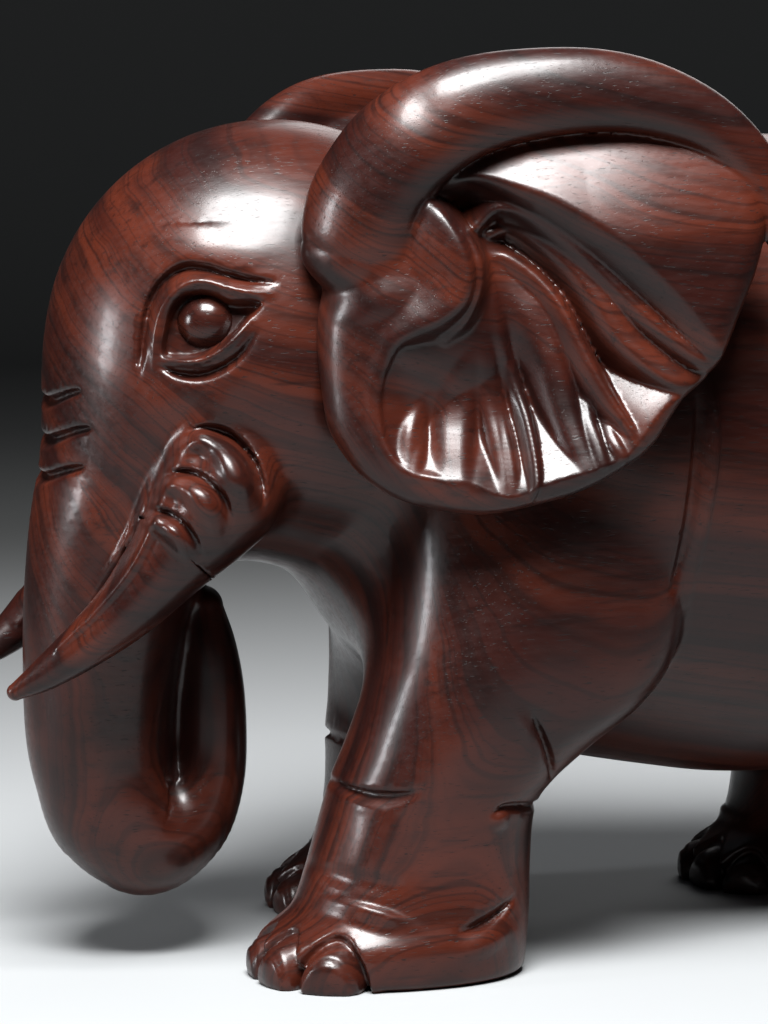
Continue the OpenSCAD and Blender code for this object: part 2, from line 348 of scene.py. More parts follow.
def mesh_object(name, verts, faces, mirror):
    """A smooth-shaded object from millimetre vertices."""
    verts = np.array(verts, float)
    if mirror:
        verts[:, 0] *= -1
        faces = faces[:, ::-1]
    mesh = bpy.data.meshes.new(name)
    mesh.vertices.add(len(verts))
    mesh.vertices.foreach_set("co", (verts * MM).astype(np.float32).ravel())
    mesh.loops.add(faces.size)
    mesh.loops.foreach_set("vertex_index", faces.astype(np.int32).ravel())
    mesh.polygons.add(len(faces))
    starts = np.arange(0, faces.size, faces.shape[1], dtype=np.int32)
    mesh.polygons.foreach_set("loop_start", starts)
    mesh.update(calc_edges=True)
    mesh.validate()
    mesh.shade_smooth()
    obj = bpy.data.objects.new(name, mesh)
    bpy.context.scene.collection.objects.link(obj)
    return obj


def thin_out(obj):
    """Brings a mesh under MAX_TRIANGLES, keeping them where the surface bends."""
    triangles = sum(len(p.vertices) - 2 for p in obj.data.polygons)
    if triangles <= MAX_TRIANGLES:
        return
    mod = obj.modifiers.new("thin_out", "DECIMATE")
    mod.ratio = MAX_TRIANGLES / triangles
    depsgraph = bpy.context.evaluated_depsgraph_get()
    mesh = bpy.data.meshes.new_from_object(obj.evaluated_get(depsgraph))
    obj.modifiers.remove(mod)
    obj.data = mesh
    mesh.shade_smooth()


def sculpt(low, high, voxel, base, relief):
    """The mesh of a base form with its carved detail."""
    def field(p):
        d = base(p)
        return d if relief is None else relief(p, d)
    grid, low = sample(base, relief, low, high, voxel)
    verts, faces = surface(grid, low, voxel)
    return settle(field, verts), faces


# ---- the body's form
LEG_X = 28.0
# Y of each heel on the floor and of the same line where the leg enters the body
HEELS = {("front", LEFT): (-26, -26), ("front", RIGHT): (-6.5, -17),
         ("hind", LEFT): (98, 93), ("hind", RIGHT): (80, 87)}
LEAN_FROM_Z, LEAN_TO_Z = 14.0, 66.0
# A leg's section: the power of its oval, and what that gains at the squarer edge above SLAB_FROM_Z
LEG_POWER, SLAB_POWER, SLAB_FROM_Z = 2.3, 1.9, 38.0
LEG_TOP_ROUND, SOLE_ROUND = 14.0, 2.0
# A leg's fillet into the torso, and what a crisp edge takes off it. The edge is crisp past a Y from
# the heel line, towards one end, and below a Z, over a height of its own.
LEG_FILLET = {"front": (15, 13.4, -20, 1, 112, 14), "hind": (16, 13, -14, -1, 94, 18)}
FILLET_FADE_Y = 22.0
# Z, Y of front and back less the heel's Y, X out, half width
FOOT = [[-2, -46, -1, 0, 17], [2, -47.5, 0, 0, 17.5], [7, -46.5, 0.5, 0, 17.5]]
FRONT_LEG = spline(FOOT + [
    [12, -41, 1.2, -0.8, 16.3], [20, -38, 1.5, -1.2, 15.8], [29, -35.4, 2.2, -0.8, 16.2],
    [34, -34, 5.5, -0.4, 16.8], [40, -31.5, 12.5, 0, 17.6], [47, -29, 20, 0.5, 18],
    [56, -25.6, 25.5, 0.8, 18.2], [68, -20.5, 27.5, 0.6, 18], [84, -13, 28, -0.2, 17.6],
    [96, -6, 27, -3, 16.4], [114, 0, 20, -8, 11]])
HIND_LEG = spline(FOOT + [
    [12, -41, 1, -0.5, 16.2], [20, -39, 0.5, -0.5, 15.5], [32, -39.5, 1.5, 0, 16.5],
    [45, -43, 4, 0.8, 17.8], [60, -46, 6.5, 1, 18.2], [80, -44, 6, -2, 17], [98, -36, 0, -7, 14],
    [108, -28, -8, -10, 9]])
# Y, Z, half width, half depth
TRUNK_BEND = [[-92.8, 27.4, 12, 11.8], [-87.5, 22, 11.3, 10.6]]
TRUNK_FALL = spline([
    [-72, 104, 28, 26], [-82, 94, 24.5, 21.5], [-89.5, 82, 19.5, 17.5], [-93.5, 68, 16, 15.2],
    [-95.4, 52, 13.8, 13.8], [-95.4, 38, 12.7, 13]] + TRUNK_BEND, 8)
TRUNK_CURL = spline(TRUNK_BEND + [
    [-80.4, 24.4, 10.6, 8.8], [-76, 33.5, 9.8, 7],
    [-75.4, 46, 9.4, 6.4], [-75.9, 56, 8.6, 5.2], [-76.2, 63, 6.4, 3.2]], 8)
# X out, Y, Z, radius
TUSK = spline([
    [25.2, -79.5, 84.5, 10], [24.8, -85, 78.6, 9], [24.4, -90, 72.6, 7.2], [23.6, -96, 65.8, 5.7],
    [22.4, -103, 59.6, 4.3], [21, -110, 54.4, 2.9], [20, -115, 51.4, 1.5]], 4)
# Where a tusk leaves its sheath and which way it points there, and how deep its joint is cut in
TUSK_SEAM = np.array([24.7, -88.2, 76.4])
TUSK_WAY = np.array([-0.08, -0.668, -0.740])
TUSK_SKIN = 1.4
TENON_RADIUS, TENON_HALF_LENGTH, TENON_MIDDLE = 3.0, 7.0, -3.0
SKULL_Z, SKULL_SHALLOW = 108.5, 0.12
EYE = np.array([22.4, -81.2, 114.4])
EYE_RADIUS = 5.6


def heel_line(end, side, z):
    """Y of the back of a leg at a height."""
    foot, top = HEELS[end, side]
    return foot + (top - foot) * step01((z - LEAN_FROM_Z) / (LEAN_TO_Z - LEAN_FROM_Z))


def column(p, table, side, heel):
    """A leg: an oval at every height, with a flat sole."""
    z = p[:, 2]
    front, back, out, half_w = lookup(table, z)
    half_l = (back - front) / 2
    u = p[:, 0] - side * (LEG_X + out)
    v = p[:, 1] - heel - (front + back) / 2
    # the upper leg is a flat slab behind, with a squarer edge against the flank
    square = step01((z - SLAB_FROM_Z) / 16) * step01(v / 10) * step01(side * u / 8)
    d = oval(u, v, half_w, half_l, LEG_POWER + SLAB_POWER * square)
    d = smax(d, z - table[-1, 0], LEG_TOP_ROUND)
    return smax(d, -z, SOLE_ROUND)


def strand(q, path):
    """An oval tube in the middle plane. Rows: Y, Z, half width, half depth."""
    _, row, along = nearest_on_path(q[:, 1:], path)
    off = q[:, 1:] - row[:, :2]
    over = (off * along).sum(1)
    across = off[:, 0] * along[:, 1] - off[:, 1] * along[:, 0]
    half_w, half_d = row[:, 2], row[:, 3]
    k0 = np.sqrt((q[:, 0] / half_w) ** 2 + (across ** 2 + over ** 2) / half_d ** 2)
    k1 = np.sqrt((q[:, 0] / half_w ** 2) ** 2 + (across ** 2 + over ** 2) / half_d ** 4)
    return k0 * (k0 - 1) / np.maximum(k1, 1e-6)


def trunk(p):
    """The hanging trunk and its curled end."""
    def both(q):
        return smin(strand(q, TRUNK_FALL), strand(q, TRUNK_CURL), 3.0)
    return only_near(both, p, (-50, -135, 0), (50, -52, 135), 60.0)


def mirrored(p):
    """The same points on the left side."""
    return np.column_stack([np.abs(p[:, 0]), p[:, 1:]])


def past_seam(m):
    """How far a point is past the tusk's joint, along the tusk."""
    return (m - TUSK_SEAM) @ TUSK_WAY


def barrel(p):
    belly = ellipsoid(p, (0, 30, 88), (46.5, 78, 60.2))
    rump = ellipsoid(p, (0, 70, 87), (43, 42, 51))
    shoulders = ellipsoid(p, (0, -16, 95), (42, 36, 51))
    return smin(smin(belly, rump, 24.0), shoulders, 24.0)


def head(p):
    # the skull's lower half is shallower than its upper half
    low_z = p[:, 2] + SKULL_SHALLOW * np.minimum(p[:, 2] - SKULL_Z, 0.0)
    skull = ellipsoid(np.column_stack([p[:, :2], low_z]), (0, -63, SKULL_Z), (32.5, 41.5, 41.5))
    jaw = ellipsoid(p, (0, -57, 97.5), (28, 27, 23.5))
    chest = ellipsoid(p, (0, -37, 79), (24, 20, 23))
    return smin(smin(skull, jaw, 10.0), chest, 7.0)


def bare_torso(p):
    """Barrel, head and trunk."""
    return smin(smin(barrel(p), head(p), 16.0), trunk(p), 9.0)


def with_tusk(d, m):
    """A distance with the tusk joined on, and the distance to the tusk alone."""
    cone = only_near(lambda q: cone_path(q, TUSK), m, (4, -126, 44), (46, -60, 106))
    return smin(d, cone, 5.0), cone


def torso(p):
    """Barrel, head, trunk and the tusks' sheaths, which end at the tusks' joints."""
    m = mirrored(p)
    d, cone = with_tusk(bare_torso(p), m)
    return np.maximum(d, np.minimum(past_seam(m), TUSK_SKIN - cone))


def limb(p, end, side):
    """One leg, worked out inside a box that has room for it."""
    table = FRONT_LEG if end == "front" else HIND_LEG
    foot, top = HEELS[end, side]
    low = (side * LEG_X - 46, min(foot, top) - 66, -8)
    high = (side * LEG_X + 46, max(foot, top) + 46, 130)
    return only_near(lambda q: column(q, table, side, heel_line(end, side, q[:, 2])), p, low, high)


def body_base(p):
    """The body before its fine carving."""
    d = torso(p)
    z = p[:, 2]
    for end, side in HEELS:
        soft, crisp, from_y, way, below_z, fade_z = LEG_FILLET[end]
        past = way * (p[:, 1] - heel_line(end, side, z) - from_y)
        edge = step01(past / FILLET_FADE_Y) * step01((below_z - z) / fade_z)
        d = smin(d, limb(p, end, side), soft - crisp * edge)
    return np.maximum(d, -z)


# ---- carved detail on the face
# A side-plane map: Y, Z. It is cut into both sides of the head.
FACE = Relief((-122, 52), (-66, 132), 0.2)
FACE_X, FACE_SLANT, FACE_DROP = 28.5, 0.325, 0.085


def carve_face(face):
    stroke = face.stroke
    # the muff of three folds at the root of the tusk
    stroke([[-79, 88, 2.2, 9], [-86, 81, 1.8, 7.5]])
    for fold in ([[-87.4, 93.4, 0.3, 2], [-83.6, 94.4, 1.8, 3.2], [-79.6, 92, 2.1, 3.6],
                  [-76.8, 87, 1.5, 3.1], [-75.6, 82.6, 0.2, 2]],
                 [[-91.6, 86.2, 0.3, 1.9], [-88.4, 87, 1.8, 2.8], [-84.8, 85.2, 2.1, 3.2],
                  [-82, 81.6, 1.4, 2.8], [-80.6, 77.8, 0.2, 1.8]],
                 [[-94, 80.8, 0.3, 1.6], [-91.2, 80.2, 1.6, 2.5], [-88.2, 77.8, 1.6, 2.5],
                  [-86, 74, 0.2, 1.6]]):
        stroke(fold)
    for crease in ([[-86.4, 96.4, -0.3, 0.8], [-82.8, 96.6, -1.5, 1.3], [-78.6, 95, -2.1, 1.6],
                    [-75, 91.2, -2.2, 1.6], [-73.2, 87, -1.7, 1.4], [-72.8, 83.4, -0.3, 0.8]],
                   [[-90.4, 89, -0.3, 0.7], [-86.4, 89.2, -1.5, 1.2], [-82.8, 87.6, -2, 1.4],
                    [-79.8, 84.6, -1.8, 1.3], [-78.4, 80.4, -0.3, 0.8]],
                   [[-94.2, 82.8, -0.3, 0.7], [-90.8, 82.6, -1.4, 1.1], [-87.4, 80.9, -1.8, 1.3],
                    [-85, 77.9, -1.5, 1.2], [-83.8, 74.8, -0.2, 0.7]]):
        stroke(crease, left=0.7, right=1.25)
    # the ridge that runs on down the tusk, and the shallow valley and thin edge above it
    stroke([[-78.5, 102, 0.1, 4], [-82.5, 98, 1, 4.6], [-86.8, 93, 1.5, 4.4], [-90.4, 86.6, 1.4, 3.4],
            [-93.4, 79.6, 1.2, 2.4], [-97, 73, 1.1, 2.2], [-103.5, 65.6, 0.9, 1.8],
            [-110, 59.6, 0.4, 1.4]])
    stroke([[-89.8, 91.4, -0.1, 2.2], [-92.6, 84.6, -0.5, 2], [-95.6, 77.6, -0.6, 2],
            [-99.2, 71.6, -0.5, 1.8], [-105, 64.8, -0.3, 1.6]])
    stroke([[-91.4, 93.1, 0.05, 1.4], [-93.8, 87, 0.25, 1.3], [-95.6, 82.6, 0.3, 1.2],
            [-99, 76.8, 0.3, 1.2], [-105.2, 67.5, 0.1, 1.2]])
    carve_eye(face)


def carve_eye(face):
    stroke = face.stroke
    # the sunk almond between the lids
    almond = face.region([[-91, 109.6], [-90.4, 114.4], [-89.3, 117.4], [-87.3, 119.4], [-84.3, 120.1],
                          [-81.4, 119.5], [-78.6, 118.3], [-73.4, 117.8], [-76, 114.6], [-78.6, 112],
                          [-81.4, 110], [-84.6, 108.9], [-88, 108.8]])
    face.height -= 3.2 * step01(0.35 - almond / 1.3)
    # upper lid: a raised band with a thin crest, pointed below at its front end
    stroke([[-92.6, 106.8, 0.1, 0.7], [-92.5, 111.8, 0.6, 1.1], [-91.6, 116, 0.8, 1.3],
            [-89.6, 119.4, 1, 1.4], [-86.6, 121.5, 1.1, 1.4], [-83.2, 121.7, 1.1, 1.3],
            [-79.6, 120.6, 1, 1.2], [-75.6, 119.7, 0.9, 1.1], [-71.6, 119.4, 0.4, 0.8]])
    # brow groove
    stroke([[-95.4, 106.2, -0.2, 0.5], [-94.9, 110, -1.5, 1], [-94.4, 114, -1.7, 1.1],
            [-93.4, 118.3, -1.8, 1.2], [-91, 122, -1.9, 1.4], [-87.2, 124.1, -1.9, 1.5],
            [-83, 123.8, -1.8, 1.3], [-79.6, 122.8, -1.6, 1.1], [-75.4, 121.8, -1.5, 1],
            [-70.6, 121.3, -0.3, 0.6]])
    # lower lid and the groove under it
    stroke([[-91, 108.6, 0.2, 0.6], [-87.5, 108, 0.9, 1], [-83.8, 108.2, 1, 1], [-80.3, 109.8, 1, 1],
            [-77.7, 112.2, 0.9, 1], [-75.2, 115.4, 0.4, 0.8]])
    stroke([[-91.8, 107.5, -0.3, 0.6], [-87.6, 106, -1.7, 1.2], [-83.5, 105.8, -1.9, 1.4],
            [-79.6, 107.2, -1.7, 1.3], [-76.4, 109.6, -1.2, 1.1], [-73.8, 113.2, -0.2, 0.6]])
    face.bump((-85, 103), (12, 5), 0.5, 15)
    face.bump((-84, 128), (15, 5.5), 0.7, -10)


carve_face(FACE)
# A front map: X out, Z. The three wrinkles across the root of the trunk.
BROW = Relief((-26, 74), (26, 112))
for wrinkle_z, reach, sag in ((102.6, 13.2, 2.2), (96.2, 15.2, 2.6), (89.4, 13.6, 2.4)):
    BROW.stroke([[-reach, wrinkle_z, -0.1, 0.7], [-reach * 0.8, wrinkle_z - 0.3, -1.5, 1.2],
                 [0, wrinkle_z - sag, -1.9, 1.8], [reach * 0.8, wrinkle_z - 0.3, -1.5, 1.2],
                 [reach, wrinkle_z, -0.1, 0.7]], left=0.6, right=1.3)

# Side maps of a leg's outer face: Y from the heel line, Z.
FRONT_SHIN = Relief((-56, 0), (32, 64))
HIND_SHIN = Relief((-56, 0), (32, 84))


def carve_front_shin(shin):
    stroke = shin.stroke
    # crescent at the knee, a cut whose lower lip fades out
    stroke([[-34.6, 34.4, -0.1, 0.8], [-32.4, 33.8, -1.1, 1.5], [-29, 33.5, -1.3, 1.7],
            [-25.8, 33.9, -0.8, 1.2], [-23.6, 34.6, -0.1, 0.7]], left=0.55, right=1.6)
    # the notch behind the knee and its small pad
    stroke([[-10.2, 29.8, -0.1, 0.8], [-8.2, 31, -0.9, 1.1], [-5, 30.9, -1.1, 1.3],
            [-1, 30.2, -0.7, 1.2], [5, 29.6, -0.4, 1.2]], left=0.5, right=1.4)
    shin.bump((-8.8, 28.4), (2.6, 2.2), 0.7)
    # elbow crease
    stroke([[-4.4, 48.2, -0.1, 0.6], [-3, 45, -1.1, 1], [-1, 41.2, -1.4, 1.1], [0.8, 37.6, -1.2, 1],
            [2, 35, -0.3, 0.8]])
    stroke([[-6.6, 47.4, 0.1, 1.4], [-4.8, 43.4, 0.45, 1.8], [-3, 39.6, 0.45, 1.8],
            [-1.4, 36, 0.1, 1.2]])
    # the ankle: the foot swells under the shin
    stroke([[-37.6, 15, 0.2, 2], [-34, 14.4, 0.8, 2.6], [-30, 13.4, 1, 2.6], [-26.4, 12, 0.5, 2.2],
            [-23.6, 10.8, 0.1, 1.4]], left=0.5, right=1.5)
    shin.bump((-33, 18.6), (8, 2.4), -0.5, -8)
    # heel crease
    stroke([[-17.2, 9.2, -0.2, 0.8], [-14.4, 9.5, -1, 1.3], [-11, 10.4, -1.3, 1.5],
            [-7.4, 12.2, -0.9, 1.2], [-4.6, 14.2, -0.1, 0.7]], left=1.5, right=0.5)
    shin.bump((-12, 7.2), (7, 2.6), 0.5, 15)
    shin.bump((-30.5, 22), (5, 10), 0.5, -12)


def carve_hind_shin(shin):
    stroke = shin.stroke
    stroke([[-41, 31, -0.6, 1.2], [-36, 30.2, -1.6, 1.8], [-31, 30, -1.5, 1.7],
            [-25.6, 31.2, -0.2, 0.8]], left=0.55, right=1.5)
    stroke([[-42, 26, -0.3, 1], [-36, 25, -0.9, 1.4], [-30, 25.2, -0.2, 0.9]], left=0.6, right=1.4)
    stroke([[-12, 26, -0.2, 1], [-8.6, 25, -1.3, 1.5], [-4, 23.6, -1.8, 1.9], [3, 22.4, -1.8, 2.2]],
           left=0.5, right=1.4)
    stroke([[-40, 13.6, 0.3, 2], [-35, 13.4, 1, 2.5], [-29, 12.8, 1.2, 2.5], [-22, 10.4, 0.1, 1.6]],
           left=0.5, right=1.4)
    stroke([[-19.4, 9.4, -0.3, 0.9], [-14, 10, -1.5, 1.6], [-8, 11.8, -1.6, 1.7],
            [-3, 14.6, -0.2, 0.9]],
           left=1.4, right=0.5)


# A side map of the flank just behind the shoulder: Y, Z
FLANK = Relief((-12, 50), (14, 118))
FLANK.stroke([[0.2, 104, -0.1, 1.2], [0.2, 96, -0.9, 1.7], [-0.6, 86, -1, 1.7], [-1.8, 75, -0.9, 1.6],
              [-3.6, 68, -0.3, 1.2]])
FLANK.stroke([[2.6, 106, 0.1, 1], [3.6, 99, 0.6, 1.3], [3.4, 91, 0.7, 1.4], [2.4, 82, 0.6, 1.4],
              [1, 72, 0.3, 1.3], [0.2, 64, 0.1, 1]], left=0.8, right=1.6)
carve_front_shin(FRONT_SHIN)
carve_hind_shin(HIND_SHIN)

# Toes: bearing round the foot from straight ahead, outwards positive, and size
FRONT_TOES = ((49, 1), (18, 1), (-11, 0.95), (-40, 0.9), (-67, 0.8))
HIND_TOES = ((50, 0.95), (20, 1), (-10, 1), (-40, 0.9))
TOE_HALF_WIDTH, TOE_HEIGHT, TOE_ROUND = 6.3, 9.4, 21.0
TOE_SWELL, TOE_GROOVE, NAIL_DOME = 0.9, 1.8, 0.7
FOOT_MIDDLE_BACK, FOOT_SHORTEN = 24.0, 0.8


def toes(p, side, heel, table):
    """Height over a plain foot: swollen toes, each with an arched groove round a domed nail."""
    u = side * (p[:, 0] - side * LEG_X)
    v = -(p[:, 1] - heel + FOOT_MIDDLE_BACK) * FOOT_SHORTEN
    bearing = np.degrees(np.arctan2(u, v))
    height = np.zeros(len(p))
    for angle, size in table:
        turned = np.radians((bearing - angle + 180) % 360 - 180)
        across = turned * TOE_ROUND / (TOE_HALF_WIDTH * size)
        up = p[:, 2] / (TOE_HEIGHT * size)
        q = np.sqrt(across ** 2 + up ** 2)
        height += TOE_SWELL * step01(1.5 - q)
        height -= TOE_GROOVE * step01(1 - np.abs(q - 0.9) / 0.2)
        nail = np.sqrt((across / 0.66) ** 2 + (up / 0.62) ** 2)
        height += NAIL_DOME * step01((1.04 - nail) / 0.16) * (1 - 0.4 * nail * nail)
    return height


def face_height(m):
    """The face map, which is drawn for X = FACE_X and slants a little towards the front."""
    away = m[:, 0] - FACE_X
    return FACE.at(m[:, 1] + FACE_SLANT * away, m[:, 2] - FACE_DROP * away)


def relief_fade(d):
    """Carving fades out well away from the base form's surface."""
    return step01((RELIEF_REACH + 2 - np.abs(d)) / 3)


def body_relief(p, d):
    """Takes the carving off a distance. Each map is read only where its carving lies."""
    height = np.zeros(len(p))
    m = mirrored(p)
    face = np.nonzero((p[:, 1] < -60) & (p[:, 2] > 56))[0]
    q = m[face]
    height[face] = face_height(q) * step01((q[:, 0] - 7) / 6)
    height[face] += BROW.at(p[face, 0], q[:, 2]) * step01((-92 - q[:, 1]) / 5)
    flank = np.nonzero((m[:, 0] > 30) & (p[:, 1] > -40) & (p[:, 1] < 20))[0]
    height[flank] += FLANK.at(p[flank, 1], p[flank, 2])
    for end, side in HEELS:
        heel = heel_line(end, side, p[:, 2])
        outwards = side * p[:, 0]
        y = p[:, 1] - heel
        shin, toe_table = (FRONT_SHIN, FRONT_TOES) if end == "front" else (HIND_SHIN, HIND_TOES)
        near_leg = (np.abs(outwards - LEG_X) < 24) & (y > -54) & (y < 30) & (p[:, 2] < 84)
        leg = np.nonzero(near_leg)[0]
        # the inner face is carved much less deeply
        weight = 0.12 + 0.88 * step01((outwards[leg] - 18) / 16)
        height[leg] += shin.at(y[leg], p[leg, 2]) * weight
        height[leg] += toes(p[leg], side, heel[leg], toe_table)
    return np.maximum(d - height * relief_fade(d), -p[:, 2])


# ---- the ears
# X of the ear's rim plane along Y: close to the head in front, standing off the flank behind
EAR_SWEEP = spline([[-80, 33], [-74, 33.5], [-68, 36], [-60, 40.6], [-50, 45], [-35, 49.6], [-15, 53.6],
                    [0, 55.8], [16, 57.4]])
# How far the ear leans out towards its lower edge, in X for each unit of height, and from where
EAR_LEAN, EAR_LEAN_Z = 0.12, 118.0
EAR_OUTLINE = [[-62.5, 122], [-65, 116], [-65.8, 110], [-65.8, 103.4], [-65, 96.6], [-62.6, 91.4],
               [-58.8, 86.8], [-54.4, 84], [-48.2, 82], [-40.2, 81.2], [-32, 82.6], [-23.6, 85],
               [-15, 89.4], [-10.4, 93.2], [-7.4, 97.4], [-4.6, 101.2], [-0.8, 104.4], [1.6, 108.4],
               [4.6, 115], [8.6, 124], [10.6, 133], [8.6, 142.6], [1.6, 149.8], [-12, 154], [-32, 156],
               [-49, 152], [-58, 140]]
# The line the bowl rises to: the rim below, and a line well outside the ear above
EAR_CREST = [[-54.8, 112.2], [-56.6, 109.2], [-57.6, 104.4], [-57.6, 99.8], [-57, 95.4], [-55.4, 91.8],
             [-52.8, 89.4], [-48, 88.4], [-43.2, 88], [-39.8, 86.4], [-36.6, 85.2], [-33.6, 86.4],
             [-28.4, 88.4], [-21.6, 90.2], [-16.8, 92.2], [-14.4, 95], [-12, 98.4], [-8.4, 101.4],
             [-4, 103], [-1, 106], [2.4, 111], [9, 118], [18, 130], [24, 150], [4, 176], [-35, 180],
             [-60, 162], [-63, 138], [-57, 122]]
EAR_BOWL, EAR_BOWL_SLOPE, EAR_BOWL_POWER = 14.5, 30.0, 1.4
EAR_THICK, BACK_HOLLOW, BACK_HOLLOW_SLOPE = 5.4, 0.85, 20.0
FRONT_ROUND, BACK_ROUND, EDGE_ROUND, ROLL_FILLET, ROOT_FILLET = 6.5, 2.0, 2.5, 0.9, 6.0
# Share of a height over the rim plane, or of a stretched distance, that is about the true distance
FRONT_SHARE, BACK_SHARE, ROLL_SHARE = 0.84, 0.9, 0.8
# Y, Z, X from the rim plane, radius
EAR_ROLL = spline([
    [-61.8, 126.8, -3, 5.6], [-60.8, 130, -2.4, 6.8], [-58.8, 134.6, -2, 7.8],
    [-55.8, 139.4, -1.8, 8.4], [-51.8, 144.2, -1.6, 8.8], [-46.2, 148.6, -1.4, 8.7],
    [-39.4, 151.6, -1.2, 8.3], [-30.2, 153.4, -1.2, 7.7], [-19.6, 154, -1.2, 7.1],
    [-10, 152.6, -1.2, 6.3], [-0.5, 148.8, -1.4, 5.2], [6.8, 142.6, -1.6, 4.2],
    [10.4, 135.6, -1.8, 3.3], [11.6, 129, -2, 2.4]], 6)
# The roll's thickness over its height, at its front end and along the top
ROLL_FLAT_FRONT, ROLL_FLAT_TOP = 0.85, 0.6
# The knuckle where the roll turns back, a dent between two swellings: its middle, size and depth
KNUCKLE, KNUCKLE_SIZE, KNUCKLE_DEPTH = (54, -50.5, 151.5), (9, 3.2, 4.2), 1.3
# Ellipsoids that join the ear to the head: centre, radii
EAR_ROOT = (((33, -50, 119), (10.5, 12, 23)), ((36, -40, 114), (10, 12, 17)))
EAR_MAP = (-78, 72), (26, 170)
EAR, EAR_EDGE, EAR_BACK = Relief(*EAR_MAP), Relief(*EAR_MAP), Relief(*EAR_MAP)
# Where the lobe's slope starts under the roll: Y, Z, the lobe's depth there, its rise and its length
LOBE_ROOT = np.array([[-46, 141.4, -3.4, 8.4, 21], [-38, 144.8, -3.4, 8.6, 21],
                      [-31.2, 148, -3.6, 8.8, 22], [-22.8, 151.2, -4.6, 9.2, 24],
                      [-12, 154.6, -5.6, 10, 26], [0, 158, -6.4, 10.4, 28], [12, 160, -7, 10.6, 29]])


def carve_ear(ear):
    crest = ear.crest
    # a bowl that is deepest under the roll and rises to the rim
    rim = ear.region(EAR_CREST)
    inwards = np.clip(-rim / EAR_BOWL_SLOPE, 0.0, 1.0)
    bowl = -EAR_BOWL * (1 - (1 - inwards) ** EAR_BOWL_POWER)
    ear.height[:] = bowl
    # the front flap is a shallow dish of its own
    flap = ear.region([[-54, 138], [-48.6, 135.4], [-45, 129.6], [-44, 123.5], [-45.6, 118.8],
                       [-50, 115], [-55, 112.8], [-60, 112], [-64, 115], [-64, 124], [-60, 132]])
    ear.height = np.maximum(ear.height, -EAR_BOWL * step01(flap / 5.0))
    ear.bump((-50.5, 126), (6.6, 9.6), -2.2, -20)
    ear.bump((-57.5, 118.5), (8, 3.6), 0.9, 25)
    # its S-shaped crest, which runs on into the rim of the bowl, and a thinner one beside it
    crest([[-49.2, 135, 1, 1.8], [-47.4, 132.6, 3, 2.4], [-45.2, 128.2, 4, 2.8],
           [-43.8, 123.4, 3.8, 2.8], [-44.8, 119, 3.2, 2.8], [-47.8, 116, 2.6, 2.6],
           [-51.6, 114, 2, 2.4], [-54.6, 112, 1.4, 2.2], [-56.4, 108.8, 0.8, 2.1],
           [-57.6, 104.4, 0.6, 2], [-57.8, 99.8, 0.5, 1.9], [-57.2, 95.4, 0.4, 1.8],
           [-55.6, 91.8, 0.3, 1.7], [-52.8, 89.4, 0.2, 1.6], [-48.2, 88.4, 0.2, 1.5]],
          drop=3.8, power=1.6, right=1.9, k=0.7)
    crest([[-45.4, 133.2, 0, 1.5], [-43, 129.4, 1.6, 1.6], [-41.2, 125, 2, 1.7],
           [-41.4, 120.4, 1.2, 1.7], [-43.4, 115.6, -0.4, 1.7], [-46.4, 112.6, -2.2, 1.6]],
          drop=3.8, power=1.5, k=0.6)
    # the broad lobe that leans out from under the roll, and breaks off along its lower edge
    start, depth, rise, length = lookup(LOBE_ROOT, ear.a)
    lobe = depth + rise * (1 - (1 - np.clip((start - ear.b) / length, 0.0, 1.0)) ** 1.5)
    crest([[-45.2, 139.2, -0.6, 3], [-39.4, 140.2, -0.2, 3.6], [-33.4, 138.4, 0, 4.2],
           [-27.2, 135.8, 0, 4.8], [-21, 131.8, 0, 5.2], [-14.6, 126.4, -0.3, 5.4],
           [-6.2, 118.2, -1, 5.4], [1.2, 108.4, -1.8, 5]], drop=6.0, power=1.6, left=12.0, over=lobe)
    # the long folds that fan out to the rim, each with a long upper face and a short lower one
    crest([[-39.2, 131.4, -4.5, 2], [-36, 134.2, -2.2, 2.6], [-31.4, 133.2, -0.9, 3],
           [-25.2, 128.8, -0.2, 3.4], [-18.8, 122.2, 0.1, 3.6], [-12.4, 115.6, 0.3, 3.6],
           [-5.6, 110, 0.4, 3.4], [-1.4, 107.4, 0.5, 3]], drop=4.8, power=1.5, left=0.8, k=0.6)
    crest([[-36.4, 130, -7, 2], [-33, 130.8, -4.6, 2.8], [-28.6, 128.2, -2.8, 3.4],
           [-23.8, 123.6, -1.6, 3.8], [-20, 117.8, -0.8, 4], [-16.6, 112, -0.5, 4],
           [-12, 107.2, -0.2, 3.8], [-6.4, 103.6, 0.1, 3.4], [-1, 102.6, 0.2, 3]],
          drop=4.8, power=1.7, left=1.3, right=0.8, k=0.8)
    crest([[-37.2, 126.2, -8.4, 1.6], [-34, 125.8, -6, 2.2], [-30, 122.6, -4.2, 2.8],
           [-26.4, 117.8, -3, 3], [-23.8, 112, -2.4, 3], [-21, 105.8, -1.8, 2.9],
           [-17.6, 99.6, -1, 2.7], [-13.4, 93.4, -0.1, 2.4]],
          drop=4.8, power=1.4, left=0.9, right=1.2, k=0.6)
    crest([[-36, 125, -11, 2.4], [-33.6, 122.2, -8, 3.6], [-30.6, 117.4, -5, 4.2],
           [-28.4, 111.6, -4, 4.2], [-27, 105.6, -3.6, 4], [-25.8, 99.4, -2.8, 3.8],
           [-24.4, 93.6, -1.3, 3.6], [-23, 89.4, -0.1, 3.2]], drop=4.6, power=2.2, k=0.9)
    crest([[-23.4, 106.4, 0.4, 1.6], [-22.8, 101.4, 2, 2.2], [-22, 96.2, 1.8, 2.4],
           [-21, 90.8, 0.4, 2.2]], drop=4.2, k=0.6, over=bowl)
    crest([[-19.6, 98.6, 0.2, 1.4], [-18.8, 94.8, 1, 1.8], [-17.2, 91.4, 0.3, 1.8]], k=0.5, over=bowl)
